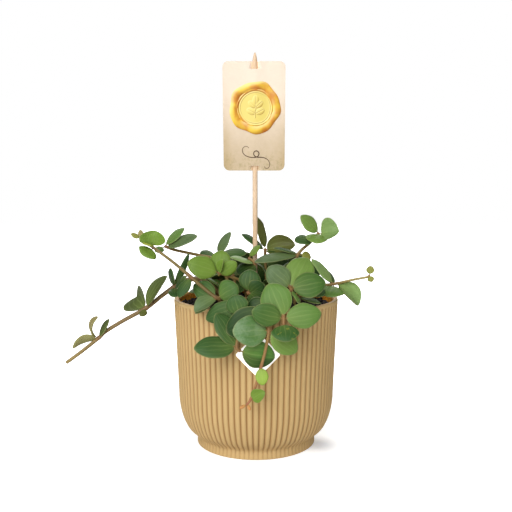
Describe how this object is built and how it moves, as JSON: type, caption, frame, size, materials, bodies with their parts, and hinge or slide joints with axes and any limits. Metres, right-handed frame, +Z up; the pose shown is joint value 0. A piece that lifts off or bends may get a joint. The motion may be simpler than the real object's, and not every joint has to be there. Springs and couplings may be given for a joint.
{
  "type": "trailing peperomia in a pot",
  "caption": "Trailing peperomia with round fleshy leaves in a ribbed pot of soil, with a wooden stick that carries a card tag.",
  "frame": {"origin": "middle of the pot's underside, on the surface that the pot stands on", "axes": "+Z up along the pot's axis; the plant's front, which the picture shows, looks along -Y; +X is the picture's right"},
  "size_m": [0.2517, 0.2003, 0.332],
  "materials": {
    "pot": "matte ochre",
    "soil": "crumbly",
    "stick": "bare",
    "tag": "matte card",
    "front_label": "matte",
    "front_trailing_stem": "satin leaf",
    "front_left_stem": "satin leaf",
    "front_right_stem": "satin leaf",
    "right_cluster_stem": "satin leaf",
    "middle_stem": "satin leaf",
    "bright_stem": "satin leaf",
    "left_rising_stem": "satin leaf",
    "left_upper_stem": "satin leaf",
    "left_trailing_stem": "satin leaf",
    "right_reaching_stem": "satin leaf",
    "upper_right_stem": "satin leaf",
    "upper_middle_stem": "satin leaf",
    "inner_middle_stem": "satin leaf",
    "upper_left_stem": "satin leaf",
    "inner_right_stem": "satin leaf",
    "back_stem_1": "satin leaf",
    "back_stem_2": "satin leaf",
    "back_stem_3": "satin leaf",
    "crown_stem_1": "satin leaf",
    "crown_stem_2": "satin leaf",
    "crown_stem_3": "satin leaf",
    "crown_stem_4": "satin leaf",
    "crown_stem_5": "satin leaf",
    "crown_stem_6": "satin leaf"
  },
  "bodies": {
    "root": {"pot": "pot", "soil": "soil", "stick": "stick", "tag": "tag", "front_label": "front_label", "front_trailing_stem": "front_trailing_stem", "front_left_stem": "front_left_stem", "front_right_stem": "front_right_stem", "right_cluster_stem": "right_cluster_stem", "middle_stem": "middle_stem", "bright_stem": "bright_stem", "left_rising_stem": "left_rising_stem", "left_upper_stem": "left_upper_stem", "left_trailing_stem": "left_trailing_stem", "right_reaching_stem": "right_reaching_stem", "upper_right_stem": "upper_right_stem", "upper_middle_stem": "upper_middle_stem", "inner_middle_stem": "inner_middle_stem", "upper_left_stem": "upper_left_stem", "inner_right_stem": "inner_right_stem", "back_stem_1": "back_stem_1", "back_stem_2": "back_stem_2", "back_stem_3": "back_stem_3", "crown_stem_1": "crown_stem_1", "crown_stem_2": "crown_stem_2", "crown_stem_3": "crown_stem_3", "crown_stem_4": "crown_stem_4", "crown_stem_5": "crown_stem_5", "crown_stem_6": "crown_stem_6"}
  },
  "joints": []
}
